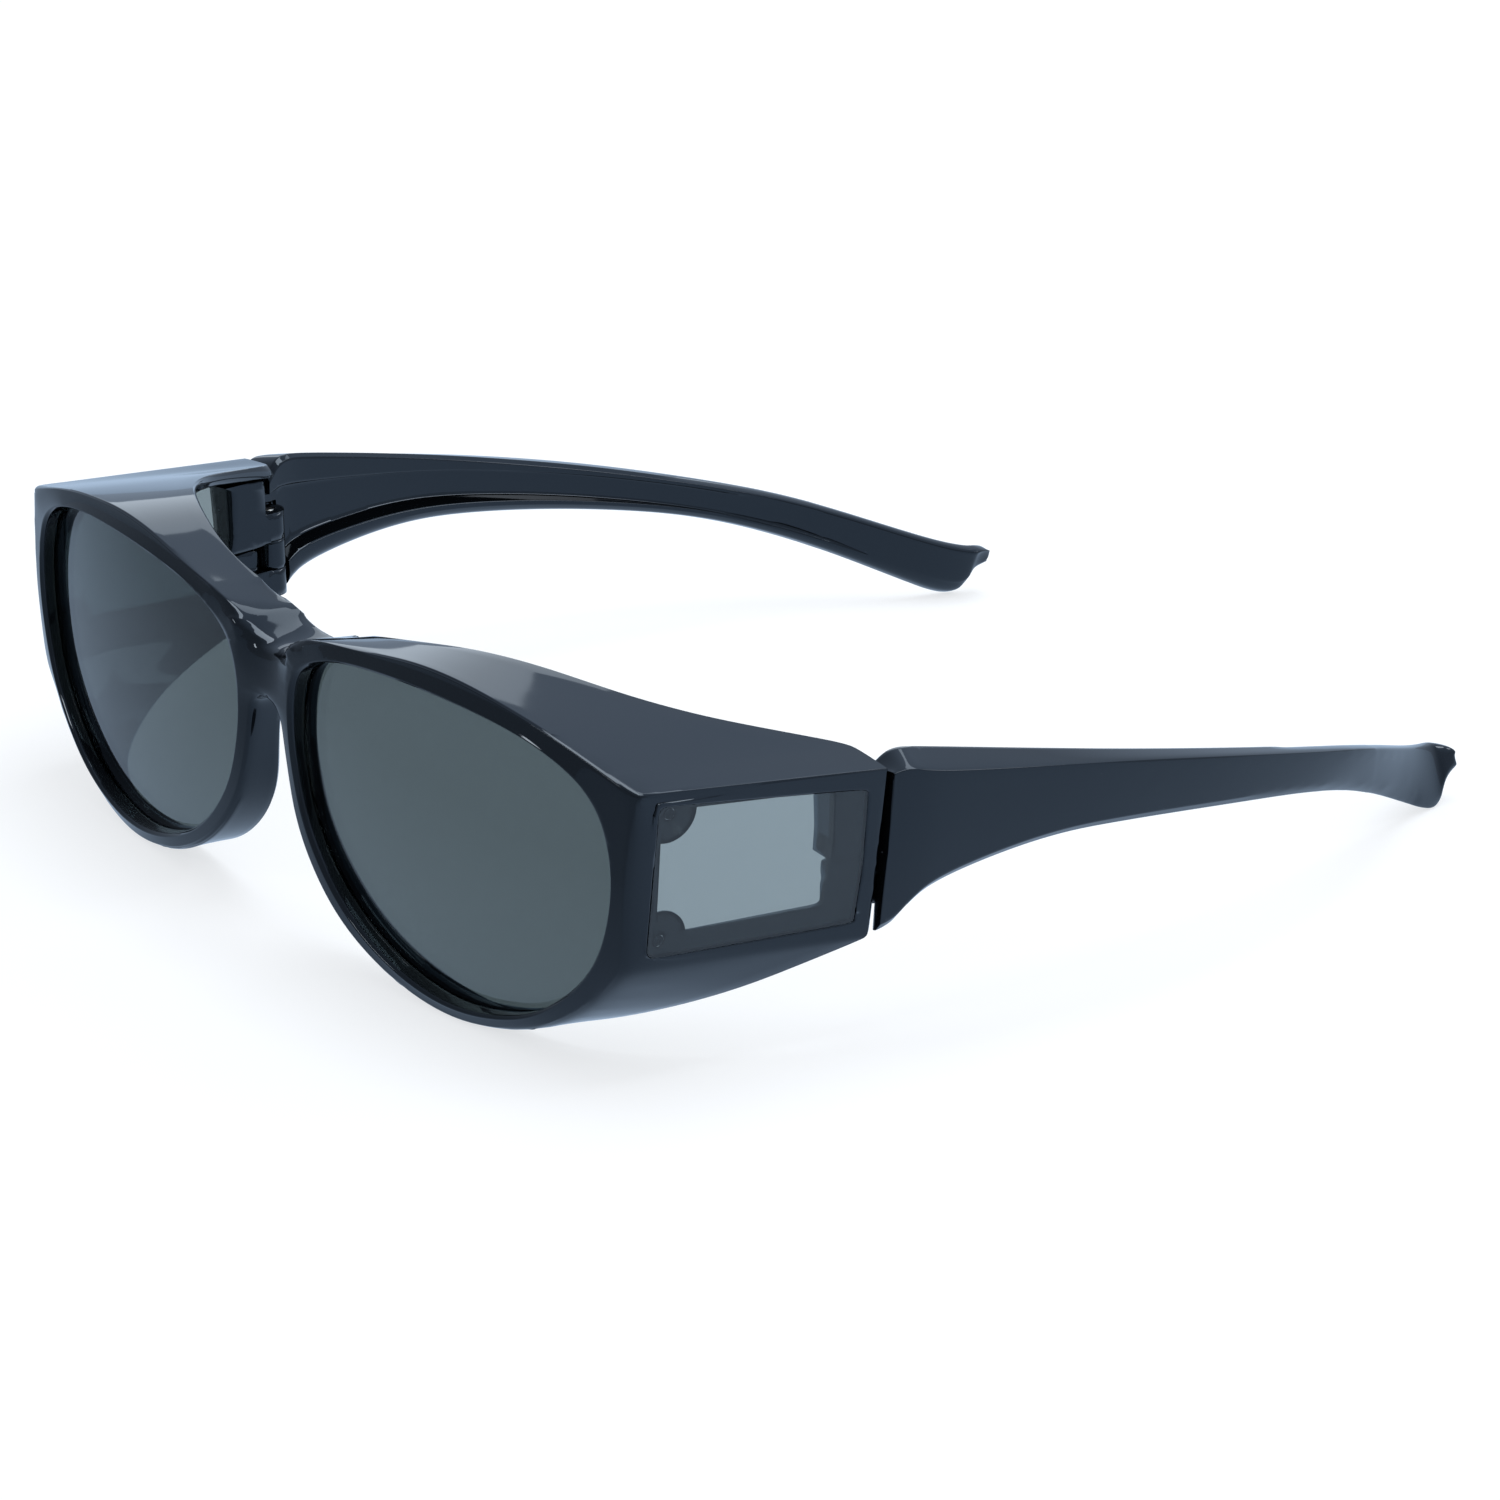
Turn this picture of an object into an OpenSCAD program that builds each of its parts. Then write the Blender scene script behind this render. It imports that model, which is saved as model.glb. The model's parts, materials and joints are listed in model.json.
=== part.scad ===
// Fit-over safety glasses: a moulded front with two lens cups, four lenses, two folding temples.
// The front's right half and the right temple mirror the left ones, where +X is the wearer's left.
// The shape is drawn upright, then tipped by the rest pitch so that it stands on z = 0.

/* [Front lens openings] */
// Width of one lens opening
lens_w = 60.6; // [54:0.2:66]
// Height of one lens opening
lens_h = 43.4; // [38:0.2:48]
// Distance between the two openings over the nose
nose_gap = 13.6; // [12:0.2:18]
// Radius of the front's wrap, seen from above
wrap_r = 270; // [180:5:600]
// Half of the flat stretch in the middle of the wrap
wrap_flat = 6; // [2:0.5:10]

/* [Front lenses] */
// Spherical radius of a front lens
lens_r = 190; // [150:5:260]
// Thickness of a front lens
lens_t = 1.9; // [1.6:0.1:2.1]
// How far a lens face lies behind the rim's front edge
lens_set = 2.2; // [2:0.1:2.4]
// How deep a lens edge sits in its groove
groove = 1.1; // [0.8:0.1:1.3]
// Clearance between a lens and its groove or pocket
lens_gap = 0.06; // [0.02:0.01:0.1]

/* [Rims] */
// Width of the rim beside the nose
rim_nose = 2.9; // [2.6:0.1:4]
// Width of the rim under a lens
rim_low = 2.5; // [2.4:0.1:4]
// Width of the rim beside the temple
rim_side = 4.4; // [3.4:0.1:6]
// Height of the brow's ridge over the opening
brow_rise = 3.7; // [3:0.1:6]
// How far a rim reaches behind its lens
rim_back = 1.2; // [1:0.1:1.4]

/* [Brow and side walls] */
// Thickness of the brow shelf and the lower flange
wall = 1.8; // [1.4:0.1:2]
// Length of a side wall, from the front corner to the hinge
side_len = 37.6; // [32:0.2:44]
// Height of a side wall at the hinge
side_h = 24.2; // [20:0.2:28]
// Drop of a side wall's top edge towards the hinge
side_drop = 5.1; // [2:0.1:8]
// How far the hinge end leans forward towards its bottom
end_slant = 1.6; // [0:0.1:3]
// Outward flare of a side wall towards the hinge, in degrees
side_flare = 5; // [1:0.1:8]
// Inward lean of a side wall towards its bottom, in degrees
side_lean = 4; // [0:0.1:8]
// Depth of the brow shelf over a lens
brow_depth = 12; // [8:0.5:16]

/* [Bridge] */
// Height of the nose arch over the middle of the openings
arch_rise = 9.3; // [7:0.1:11]
// Thickness of the bridge, from the arch to its top
bridge_h = 6.8; // [5:0.1:9]
// How far the top of the bridge leans back
bridge_lean = 4.9; // [3:0.1:6]

/* [Side windows] */
// Thickness of a side lens, which is its pocket's depth
side_lens_t = 1.3; // [1:0.1:1.6]
// Thickness of the ledge behind a side lens
ledge_t = 1.3; // [1:0.1:1.8]
// Diameter of a side lens peg
peg_d = 1.5; // [1.2:0.1:2]
// Radius of the lobes round the pegs
lobe_r = 4.1; // [3.4:0.1:4.6]

/* [Hinges] */
// Gap between a temple's end and the side wall
hinge_gap = 0.5; // [0.4:0.1:0.9]
// Outer radius of a hinge knuckle
knuckle_r = 2.3; // [2:0.1:2.6]
// Diameter of the hinge screw's shank
screw_d = 1.6; // [1.2:0.1:1.8]
// Radial clearance of the screw in a knuckle
screw_fit = 0.04; // [0.02:0.01:0.08]
// Clearance between a temple and the front's hinge
swing_gap = 0.3; // [0.2:0.05:0.4]

/* [Temples] */
// Length of a temple, from the side wall to its end
temple_len = 125.6; // [115:0.2:140]
// Inward bend of a temple at its tip, from the side wall's top corner
tip_inset = 21; // [16:0.5:26]
// Drop of a temple's lowest point below the side wall's top corner
tip_drop = 44; // [39:0.5:49]
// Thickness of a temple at the hinge
temple_t = 6; // [5.4:0.1:6.6]
// Thickness of a temple's tip
tip_t = 2.8; // [2.4:0.1:3.6]
// Depth of the channel inside a temple
channel = 2.4; // [1.6:0.1:2.8]

/* [Hidden] */

// Curve quality: points per rounded corner of an outline, and of round parts
corner_n = 4;
round_n = 48;

nose_x = nose_gap / 2;
open_mid_z = 4.1;
low_z = open_mid_z - lens_h / 2;
top_z = open_mid_z + lens_h / 2;
side_x = nose_x + lens_w + rim_side;
front_y = -9.9;

function mix(a, b, t) = a + (b - a) * t;
function unit(v) = v / norm(v);
function wrap_y(x) = front_y + pow(max(0, abs(x) - wrap_flat), 2) / (2 * wrap_r);

function reversed(v) = [for (i = [len(v) - 1 : -1 : 0]) v[i]];

// One corner of an outline, cut off at share t of its two half edges and rounded to n points
function rounded_corner(a, p, c, t, n) =
    let (from = mix(p, a, t / 2), to = mix(p, c, t / 2))
    [for (j = [0 : n - 1])
        let (u = (j + 0.5) / n)
        mix(mix(from, p, u), mix(p, to, u), u)];

// A closed curve round a list of corner points, soft = 1 where it is fully rounded
function closed_curve(pts, soft, n) =
    let (k = len(pts))
    [for (i = [0 : k - 1])
        each rounded_corner(pts[(i + k - 1) % k], pts[i], pts[(i + 1) % k], soft[i], n)];

// The same for an open row of values: it starts and ends at the first and the last
function open_curve(rows, n) =
    let (last = len(rows) - 1)
    concat(
        [rows[0]],
        [for (i = [1 : last - 1])
            let (
                from = i == 1 ? rows[0] : mix(rows[i - 1], rows[i], 0.5),
                to = i == last - 1 ? rows[last] : mix(rows[i], rows[i + 1], 0.5)
            )
            for (j = [i == 1 ? 1 : 0 : n - (i == last - 1 ? 1 : 0)])
                if (i == last - 1 || j < n)
                    let (u = j / n)
                    mix(mix(from, rows[i], u), mix(rows[i], to, u), u)],
        [rows[last]]
    );

// One corner of a section, rounded by a radius in mm that its edges limit
function section_corner(a, p, c, r, n) =
    n == 1 ? [p] :
    let (
        la = norm(a - p),
        lc = norm(c - p),
        from = mix(p, a, min(r, la * 0.48) / la),
        to = mix(p, c, min(r, lc * 0.48) / lc)
    )
    [for (j = [0 : n - 1])
        let (u = j / (n - 1))
        mix(mix(from, p, u), mix(p, to, u), u)];

// A closed section with one radius and one number of points for each corner
function section(pts, radii, counts) =
    let (k = len(pts))
    [for (i = [0 : k - 1])
        each section_corner(pts[(i + k - 1) % k], pts[i], pts[(i + 1) % k], radii[i], counts[i])];

// A skin over sections of equal length, closed into a ring or capped at both ends
module skin(sections, ring) {
    m = len(sections);
    n = len(sections[0]);
    pts = [for (s = sections) each s];
    sides = [for (i = [0 : ring ? m - 1 : m - 2], j = [0 : n - 1])
        let (
            a = i * n + j,
            b = i * n + (j + 1) % n,
            c = ((i + 1) % m) * n + (j + 1) % n,
            d = ((i + 1) % m) * n + j
        )
        each [[a, b, c], [a, c, d]]];
    caps = ring ? [] : [
        [for (j = [n - 1 : -1 : 0]) j],
        [for (j = [0 : n - 1]) (m - 1) * n + j]
    ];
    polyhedron(pts, concat(sides, caps), convexity = 10);
}

corner_z = top_z - 4.4;

// A point on a side wall's outer plane: u runs back from the front corner, v runs up
function side_point(u, v) = [
    side_x + u * sin(side_flare) + v * sin(side_lean) * cos(side_flare),
    u * cos(side_flare) - v * sin(side_lean) * sin(side_flare),
    corner_z + v * cos(side_lean)
];

// Puts flat work on a side wall's outer plane, its Z pointing outwards
module on_side() {
    translate(side_point(0, 0))
        rotate([0, 0, -side_flare])
            rotate([90, 0, 90])
                rotate([side_lean, 0, 0])
                    children();
}

// The opening's outline as shares of its width and height. All outlines run from the bridge's
// top over the brow, down the side wall, and back under the lens to the nose arch.
opening_shape = [
    [0.022, 0.855], [0.045, 0.890], [0.100, 0.938], [0.215, 0.983], [0.450, 1.005], [0.725, 0.985],
    [0.895, 0.918], [0.983, 0.805], [1.012, 0.600], [0.970, 0.335], [0.868, 0.165], [0.727, 0.037],
    [0.480, -0.020], [0.207, 0.106], [0.045, 0.345], [-0.003, 0.580], [-0.006, 0.715], [0.003, 0.795]
];
opening_keys = [for (p = opening_shape) [nose_x + p[0] * lens_w, low_z + p[1] * lens_h]];
opening = closed_curve(opening_keys, [for (p = opening_shape) 1], corner_n);

// The hinge end of the side wall
end_y = side_len * cos(side_flare);
end_top = [side_point(side_len, -side_drop)[0], end_y, side_point(side_len, -side_drop)[2]];
end_low = [
    side_point(side_len, -side_drop - side_h)[0],
    end_y - end_slant,
    side_point(side_len, -side_drop - side_h)[2]
];
function end_at(z) = end_y - end_slant * (end_top[2] - z) / side_h;
side_wall = side_lens_t + ledge_t;
arch_z = open_mid_z + arch_rise;
crest_y = front_y + bridge_lean;
crest_z = arch_z + bridge_h;
bridge_half = 3;

function beside(i, out, y) = [opening_keys[i][0] + out[0], y, opening_keys[i][1] + out[1]];

// A point over the opening: share of its width, distance behind the wrap, height over its top
function over_lens(share, back, up) =
    let (x = nose_x + share * lens_w)
    [x, wrap_y(x) + back, top_z + up];

// Outer edge of the front face: the bridge's crest, the brow's ridge, the corner and the rim
edge_keys = [
    [-bridge_half, crest_y, crest_z],
    [bridge_half, crest_y, crest_z],
    beside(2, [-5.6, 2.4], -9.2),
    over_lens(0.22, 0.9, 0.32 * brow_rise),
    over_lens(0.48, 1, brow_rise),
    over_lens(0.78, 1, 0.3 * brow_rise),
    side_point(-2, 0) + [-5.4, -0.4, 1.9],
    side_point(-1.2, 0.2),
    side_point(-2, -12.5),
    side_point(-1.6, -side_h - 1.2),
    beside(10, [0.95, -0.75] * rim_low, -3.1),
    beside(11, [0.3, -0.9] * rim_low, -4.8),
    beside(12, [0.1, -1.05] * rim_low, -7.3),
    beside(13, [-0.5, -0.9] * rim_low, -9.7),
    beside(14, [-0.9, -0.65] * rim_nose, -9.6),
    beside(15, [-0.95, 0] * rim_nose, -9.2),
    [bridge_half, front_y + 0.7, arch_z],
    [-bridge_half, front_y + 0.7, arch_z]
];
edge_soft = [1, 1, 1, 1, 1, 1, 0.9, 0.15, 1, 0.35, 1, 1, 1, 1, 1, 1, 1, 1];

// Rear edge of the shell: the brow shelf, the hinge end, the lower flange and the nose wall
rear_keys = [
    [-bridge_half, front_y + brow_depth - 0.3, crest_z + 0.4],
    [bridge_half, front_y + brow_depth - 0.3, crest_z + 0.4],
    [8, front_y + brow_depth - 1.3, top_z - 2.7],
    over_lens(0.22, brow_depth - 3.6, 1),
    over_lens(0.5, brow_depth + 0.6, 2.9),
    over_lens(0.81, 1.8 * brow_depth, -2.2),
    end_top + [-7.4, 0, 0.9],
    end_top,
    mix(end_top, end_low, 0.5),
    end_low,
    end_low + [-6.2, -20.4, -5.4],
    end_low + [-20, -36, -10.2],
    beside(12, [0.5, -1.8], -0.7),
    beside(13, [-0.8, -3.2], -2.2),
    beside(14, [-3, -2.5], -3),
    beside(15, [-2.2, 0], -4),
    [bridge_half, -3.6, arch_z + 0.8],
    [-bridge_half, -3.6, arch_z + 0.8]
];
rear_soft = [1, 1, 1, 1, 1, 1, 0.4, 0.12, 1, 0.12, 1, 1, 1, 1, 1, 1, 1, 1];

// From the shell's outer skin to its inner skin
inset_keys = [
    [5, 0, -wall], [2, 0, -0.6 * wall], [1, 0, -0.7 * wall], [0, 0, -wall], [0, 0, -wall], [0, 0, -wall],
    [-0.6, 0, -wall], [-side_wall, 0, -wall], [-side_wall, 0, 0], [-side_wall, 0, 0.2 * wall],
    [-0.62, 0, 0.78] * wall, [-0.43, 0, 0.85] * wall, [0, 0, 0.9] * wall, [0.5, 0, 0.8] * wall,
    [0.8, 0, 0.45] * wall, [0.95, 0, 0] * wall, [2.6, 0, 1.5], [6, 0, 2.5]
];

// How the face runs at each key: radius of the outer edge, radius of the bend between opening and
// edge, share of the way at which the bend lies, and its shift. Beside the bridge the bend is the
// rim's own edge, which stands in front of the bridge.
face_keys = [
    [2.4, 0.8, 0, -3.2, 0, 1.2],
    [2.2, 0.8, 0, -4.2, 0, 2.4],
    [1.4, 1.2, 0.1, -3.4, 0.2, 1.9],
    [1.1, 3, 0.48, 0, 0.7, 0],
    [0.9, 3, 0.48, 0, 0.6, 0],
    [0.9, 3, 0.48, 0, 0.5, 0],
    [1, 3, 0.48, 0, 0.3, 0],
    [1.6, 3, 0.48, 0, 0.1, 0],
    [4.5, 3, 0.48, 0, -0.3, 0],
    [3, 3, 0.48, 0, -0.3, 0],
    [1.6, 3, 0.48, 0, -0.3, 0],
    [1.1, 3, 0.48, 0, -0.3, 0],
    [0.9, 3, 0.48, 0, -0.3, 0],
    [0.9, 3, 0.48, 0, -0.3, 0],
    [1, 3, 0.48, 0, -0.3, 0],
    [1.2, 3, 0.5, 0, -0.2, 0],
    [1.6, 1.6, 0.3, -0.9, -0.1, 0],
    [2, 0.9, 0, -2.5, -0.1, 0.3]
];

edge = closed_curve(edge_keys, edge_soft, corner_n);
rear = closed_curve(rear_keys, rear_soft, corner_n);
inset = closed_curve(inset_keys, edge_soft, corner_n);
face_form = closed_curve(face_keys, edge_soft, corner_n);

// Outline of a front lens: the opening's, grown by d along its normals
function grown(outline, d) =
    let (k = len(outline))
    [for (i = [0 : k - 1])
        let (t = unit(outline[(i + 1) % k] - outline[(i + k - 1) % k]))
        outline[i] + d * [-t[1], t[0]]];

lens_in = nose_x;
lens_out = nose_x + lens_w;
lens_mid = [
    (lens_in + lens_out) / 2,
    (wrap_y(lens_in) + wrap_y(lens_out)) / 2 + lens_set,
    open_mid_z
];
lens_face_angle = atan((wrap_y(lens_out) - wrap_y(lens_in)) / lens_w);
lens_centre = lens_mid + sqrt(lens_r * lens_r - lens_w * lens_w / 4)
    * [-sin(lens_face_angle), cos(lens_face_angle), 0];

lens_outline = grown(opening, groove);
groove_outline = grown(opening, groove + lens_gap);
groove_front = lens_r + lens_gap;
groove_back = lens_r - lens_t - lens_gap;
rim_end = groove_back - rim_back;

// Where a sphere round the lens's centre crosses the line along Y at x and z
function lens_y(x, z, r) =
    lens_centre[1] - sqrt(r * r - pow(x - lens_centre[0], 2) - pow(z - lens_centre[2], 2));

// The section of a cup at one station: the opening's front edge, the face, the outer edge, the
// rear edge, the inner skin, the lip behind the lens and the lens's groove
function cup_section(i) =
    let (
        o = opening[i],
        g = groove_outline[i],
        a = [o[0], wrap_y(o[0]), o[1]],
        b = edge[i],
        c = rear[i],
        form = face_form[i],
        m = mix(a, b, form[2]) + [form[3], form[4], form[5]],
        lip = min(0.85, max(0.05, (lens_y(b[0], b[2], rim_end) - b[1]) / (c[1] - b[1]))),
        e = mix(b, c, lip) + 0.6 * inset[i]
    )
    concat(
        section(
            [
                a,
                m,
                b,
                c,
                c + inset[i],
                [e[0], lens_y(e[0], e[2], rim_end), e[2]],
                [o[0], lens_y(o[0], o[1], rim_end), o[1]]
            ],
            [0.5, form[1], form[0], 0.5, 0.4, 0.8, 0.4],
            [2, 2, 4, 2, 2, 1, 1]
        ),
        [
            [o[0], lens_y(o[0], o[1], groove_back), o[1]],
            [g[0], lens_y(g[0], g[1], groove_back), g[1]],
            [g[0], lens_y(g[0], g[1], groove_front), g[1]],
            [o[0], lens_y(o[0], o[1], groove_front), o[1]]
        ]
    );

cup_skin = [for (i = [0 : len(opening) - 1]) cup_section(i)];

module cup() {
    skin(cup_skin, true);
}

// A slice of a spherical shell, cut to the opening's outline and grown by the groove
module lens() {
    intersection() {
        translate([0, lens_w / 2, 0])
            rotate([90, 0, 0])
                linear_extrude(lens_w)
                    polygon(lens_outline);
        difference() {
            translate(lens_centre)
                sphere(r = lens_r, $fn = 200);
            translate(lens_centre)
                sphere(r = lens_r - lens_t, $fn = 200);
        }
    }
}

// Side window, in the side wall's own plane
function on_wall(shares) = [for (p = shares) [p[0] * side_len, p[1] * side_h]];
pocket_shape = on_wall([[0.056, -0.087], [0.914, -0.306], [0.906, -0.744], [0.88, -1.1], [0.024, -0.98]]);
window_shape = on_wall([[0.08, -0.132], [0.783, -0.277], [0.786, -0.579], [0.757, -0.963], [0.072, -0.864]]);
pegs = on_wall([[0.11, -0.161], [0.083, -0.897]]);
pocket_mid = on_wall([[0.48, -0.66]])[0];
function pocket_in(p) = [sign(pocket_mid[0] - p[0]), sign(pocket_mid[1] - p[1])];

// How far the cuts for a side lens reach out of the wall and into the cup
cut_out = 5;
cut_in = 8;

// How soft the corners of the side lens, its pocket and the window are
plate_soft = 0.12;

module rounded_plate(shape, soft, t) {
    linear_extrude(t)
        polygon(closed_curve(shape, [for (p = shape) soft], corner_n));
}

// Cut for the side lens: its pocket, the window through the ledge, and the holes for its pegs
module side_cut() {
    on_side() {
        translate([0, 0, -side_lens_t])
            rounded_plate(pocket_shape, plate_soft, side_lens_t + cut_out);
        difference() {
            translate([0, 0, -cut_in])
                rounded_plate(window_shape, plate_soft, cut_in + cut_out);
            for (p = pegs)
                translate([p[0], p[1], -cut_in - 1])
                    cylinder(r = lobe_r, h = cut_in + cut_out + 2, $fn = round_n);
        }
        for (p = pegs)
            translate([p[0], p[1], -cut_in])
                cylinder(d = peg_d + 2 * lens_gap, h = cut_in + cut_out, $fn = round_n);
    }
}

// Hinge: its axis stands upright at the inner side of the gap between side wall and temple
hinge_x = end_top[0] - temple_t + 0.6 * knuckle_r;
hinge_y = end_y + hinge_gap + 0.1;
knuckle_low = end_low[2] + 0.17 * side_h;
knuckle_top = end_low[2] + 0.71 * side_h;
knuckle_mid = mix(knuckle_low, knuckle_top, 0.33);
knuckle_high = mix(knuckle_low, knuckle_top, 0.67);
block_split = mix(knuckle_low, knuckle_top, 0.64);
block_top = end_top[2] - 0.6 * wall;
// Play along the axis between the temple's tongue and the knuckles over and under it
slot_gap = 0.15;
screw_head_d = screw_d + 1.4;
screw_head_t = 1;
bore_h = knuckle_top - knuckle_low + 2;

module at_hinge(z) {
    translate([hinge_x, hinge_y, z])
        children();
}

// One knuckle of the front, with the web that joins it to the hinge block
module front_knuckle(z, h) {
    at_hinge(z) {
        cylinder(r = knuckle_r, h = h, $fn = round_n);
        translate([-knuckle_r, -5, 0])
            cube([knuckle_r + 1, 5, h]);
    }
}

// A block inside the side wall, from its inner face at x out into the wall
module block(x, len, low, top) {
    back = end_at((low + top) / 2) - 1;
    shape = [[back - len, low], [back, low], [back, top], [back - len, top]];
    translate([x, 0, 0])
        rotate([90, 0, 90])
            linear_extrude(end_top[0] - 1.6 - x)
                polygon(closed_curve(shape, [for (p = shape) 0.3], 3));
}

// Blocks that carry the knuckles: a long one over a short one
module hinge_block() {
    block(hinge_x - knuckle_r, 0.21 * side_len, block_split, block_top);
    block(hinge_x - 0.4 * knuckle_r, 0.15 * side_len, knuckle_low, block_split - 0.8);
    front_knuckle(knuckle_low, knuckle_mid - knuckle_low);
    front_knuckle(knuckle_high, knuckle_top - knuckle_high);
}

// Cut round the temple's tongue, and for the screw with its sunk head
module hinge_cut() {
    at_hinge(knuckle_mid - slot_gap)
        cylinder(r = knuckle_r + swing_gap, h = knuckle_high - knuckle_mid + 2 * slot_gap, $fn = round_n);
    at_hinge(knuckle_low - 1)
        cylinder(d = screw_d + 2 * screw_fit, h = bore_h, $fn = round_n);
    at_hinge(knuckle_low - 1)
        cylinder(d = screw_head_d + 2 * screw_fit, h = 1 + screw_head_t, $fn = round_n);
}

// The wearer's left half of the front, cut off at x = 0
module half_front() {
    room = 2 * side_x;
    difference() {
        union() {
            intersection() {
                cup();
                translate([0, -room / 2, -room / 2])
                    cube(room);
            }
            hinge_block();
        }
        side_cut();
        hinge_cut();
    }
}

// Flat side lens with two pegs, a clearance smaller than its pocket
module side_lens() {
    on_side() {
        translate([0, 0, -side_lens_t])
            rounded_plate([for (p = pocket_shape) p + lens_gap * pocket_in(p)], plate_soft, side_lens_t);
        for (p = pegs)
            translate([p[0], p[1], -side_wall])
                cylinder(d = peg_d, h = side_wall - 0.4, $fn = round_n);
    }
}

// Screw from below: slotted head, shank through the three knuckles
module hinge_screw() {
    difference() {
        union() {
            at_hinge(knuckle_low)
                cylinder(d = screw_head_d, h = screw_head_t, $fn = round_n);
            at_hinge(knuckle_low)
                cylinder(d = screw_d, h = knuckle_top - knuckle_low, $fn = round_n);
        }
        at_hinge(knuckle_low)
            translate([-screw_head_d, -0.2, -1])
                cube([2 * screw_head_d, 0.4, 1.4]);
    }
}

// Temple, as rows from the hinge to the tip: share of the length; outward offset and height of the
// top ridge, then of the bottom edge, from the side wall's top corner; share from the hinge's to the
// tip's thickness; rise of the inner top edge over the ridge; share of the channel's depth.
// Offsets and heights are in mm, for the inset and the drop that stand under the rows.
temple_rows = [
    [-end_slant / temple_len, 0, -1.2, -0.6, -23.8, 0, -2.2, 1],
    [0.004, 0.7, -0.4, -0.4, -23.6, 0, -0.7, 1],
    [0.022, 1.3, -0.5, 0, -21.4, 0.02, 1.5, 1],
    [0.058, 2.1, -1.9, 0.7, -18.3, 0.05, 2.1, 1],
    [0.204, 2.4, -5.8, 1.8, -16.5, 0.34, 1.3, 1],
    [0.329, 1.8, -9.3, 1.7, -18.4, 0.56, 0.5, 0.8],
    [0.484, 0, -14.4, -0.1, -22, 0.7, 0.1, 0.5],
    [0.638, -3.8, -20.2, -3.9, -26.5, 0.76, -0.1, 0.15],
    [0.765, -8.6, -25.4, -10.3, -32.8, 0.84, -0.2, 0.03],
    [0.893, -17.7, -32.6, -17.1, -41.6, 0.95, -0.4, 0.03],
    [0.938, -20.6, -34.9, -18.2, -44.6, 1, -0.4, 0.03],
    [0.968, -22, -36, -19.2, -45, 1.02, -0.4, 0.03],
    [0.976, -22, -36, -19.6, -40.6, 1.05, -0.4, 0.03],
    [1, -21, -37.2, -20.4, -40.2, 1.1, -0.4, 0.03]
];
rows_inset = 21;
rows_drop = 44;

// A temple's section: the outer face, the bottom, then the channel and the top on the inner side
function temple_section(r) =
    let (
        y = end_y + hinge_gap + r[0] * temple_len,
        drop = mix(1, tip_drop / rows_drop, r[0]),
        inset = mix(1, tip_inset / rows_inset, r[0]),
        xt = end_top[0] + r[1] * inset,
        top = end_top[2] + r[2] * drop,
        xl = end_top[0] + r[3] * inset,
        low = end_top[2] + r[4] * drop,
        h = top - low,
        thick = mix(temple_t, tip_t, r[5]),
        rise = r[6],
        deep = r[7] * channel,
        lip = h * 0.17
    )
    [for (p = section(
        [
            [xt, top],
            [mix(xt, xl, 0.5) + 0.3, mix(top, low, 0.5)],
            [xl, low + 0.03 * h],
            [xl - 0.4 * thick, low],
            [xl - thick, low + 0.15 * h],
            [mix(xl, xt, 0.2) - thick, low + lip + 0.12 * h],
            [mix(xl, xt, 0.3) - thick + deep, low + lip + 0.5 * deep + 0.1 * h],
            [mix(xl, xt, 0.8) - thick + deep, top - 1.1 * lip],
            [mix(xl, xt, 0.9) - thick, top - 0.9 * lip],
            [xt - thick, top + rise]
        ],
        [0.7, 5, 0.9, 1.2, 0.8, 0.4, 0.6, 0.6, 0.4, 0.7],
        [3, 3, 2, 2, 2, 1, 1, 1, 1, 2]
    )) [p[0], y, p[1]]];

temple_skin = [for (r = open_curve(temple_rows, 4)) reversed(temple_section(r))];

module temple_body() {
    skin(temple_skin, false);
}

// Tongue that turns between the front's knuckles
module temple_tongue() {
    difference() {
        at_hinge(knuckle_mid) {
            cylinder(r = knuckle_r, h = knuckle_high - knuckle_mid, $fn = round_n);
            cube([end_top[0] - hinge_x - 0.6, knuckle_r, knuckle_high - knuckle_mid]);
        }
        at_hinge(knuckle_low - 1)
            cylinder(d = screw_d + 2 * screw_fit, h = bore_h, $fn = round_n);
    }
}

// Pocket for the hinge in the temple's inner side, open downwards for the screwdriver
module temple_pocket() {
    bottom = end_low[2] - 3;
    reach = 4 * knuckle_r + swing_gap;
    at_hinge(bottom)
        translate([-3 * knuckle_r, -3 * knuckle_r, 0])
            cube([reach, reach, knuckle_top + swing_gap - bottom]);
}

// What the temple's front end is cut off by: it leans as the side wall's end does
module temple_end_cut() {
    room = 2 * side_h;
    translate([end_top[0], end_y + hinge_gap, end_top[2]])
        rotate([-atan(end_slant / (end_top[2] - end_low[2])), 0, 0])
            translate([-room / 2, -room, -0.8 * room])
                cube(room);
}

module temple() {
    difference() {
        temple_body();
        temple_end_cut();
        temple_pocket();
    }
    temple_tongue();
}

// The finished pose: rims and temple tips stand on z = 0, the middle of the length is on y = 0
cup_points = [for (ring = cup_skin) each ring];
temple_points = [for (ring = temple_skin) each ring];
cup_low = min([for (p = cup_points) p[2]]);
temple_low = min([for (p = temple_points) p[2]]);
cup_low_y = [for (p = cup_points) if (p[2] == cup_low) p[1]][0];
temple_low_y = [for (p = temple_points) if (p[2] == temple_low) p[1]][0];
rest_pitch = atan((cup_low - temple_low) / (temple_low_y - cup_low_y));
tipped = [for (p = concat(cup_points, temple_points))
    [p[1] * cos(rest_pitch) - p[2] * sin(rest_pitch), p[1] * sin(rest_pitch) + p[2] * cos(rest_pitch)]];
shift_y = -(min([for (p = tipped) p[0]]) + max([for (p = tipped) p[0]])) / 2;
shift_z = -min([for (p = tipped) p[1]]);

module stand() {
    translate([0, shift_y, shift_z])
        rotate([rest_pitch, 0, 0])
            children();
}

module on_right() {
    mirror([1, 0, 0])
        children();
}

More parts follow.
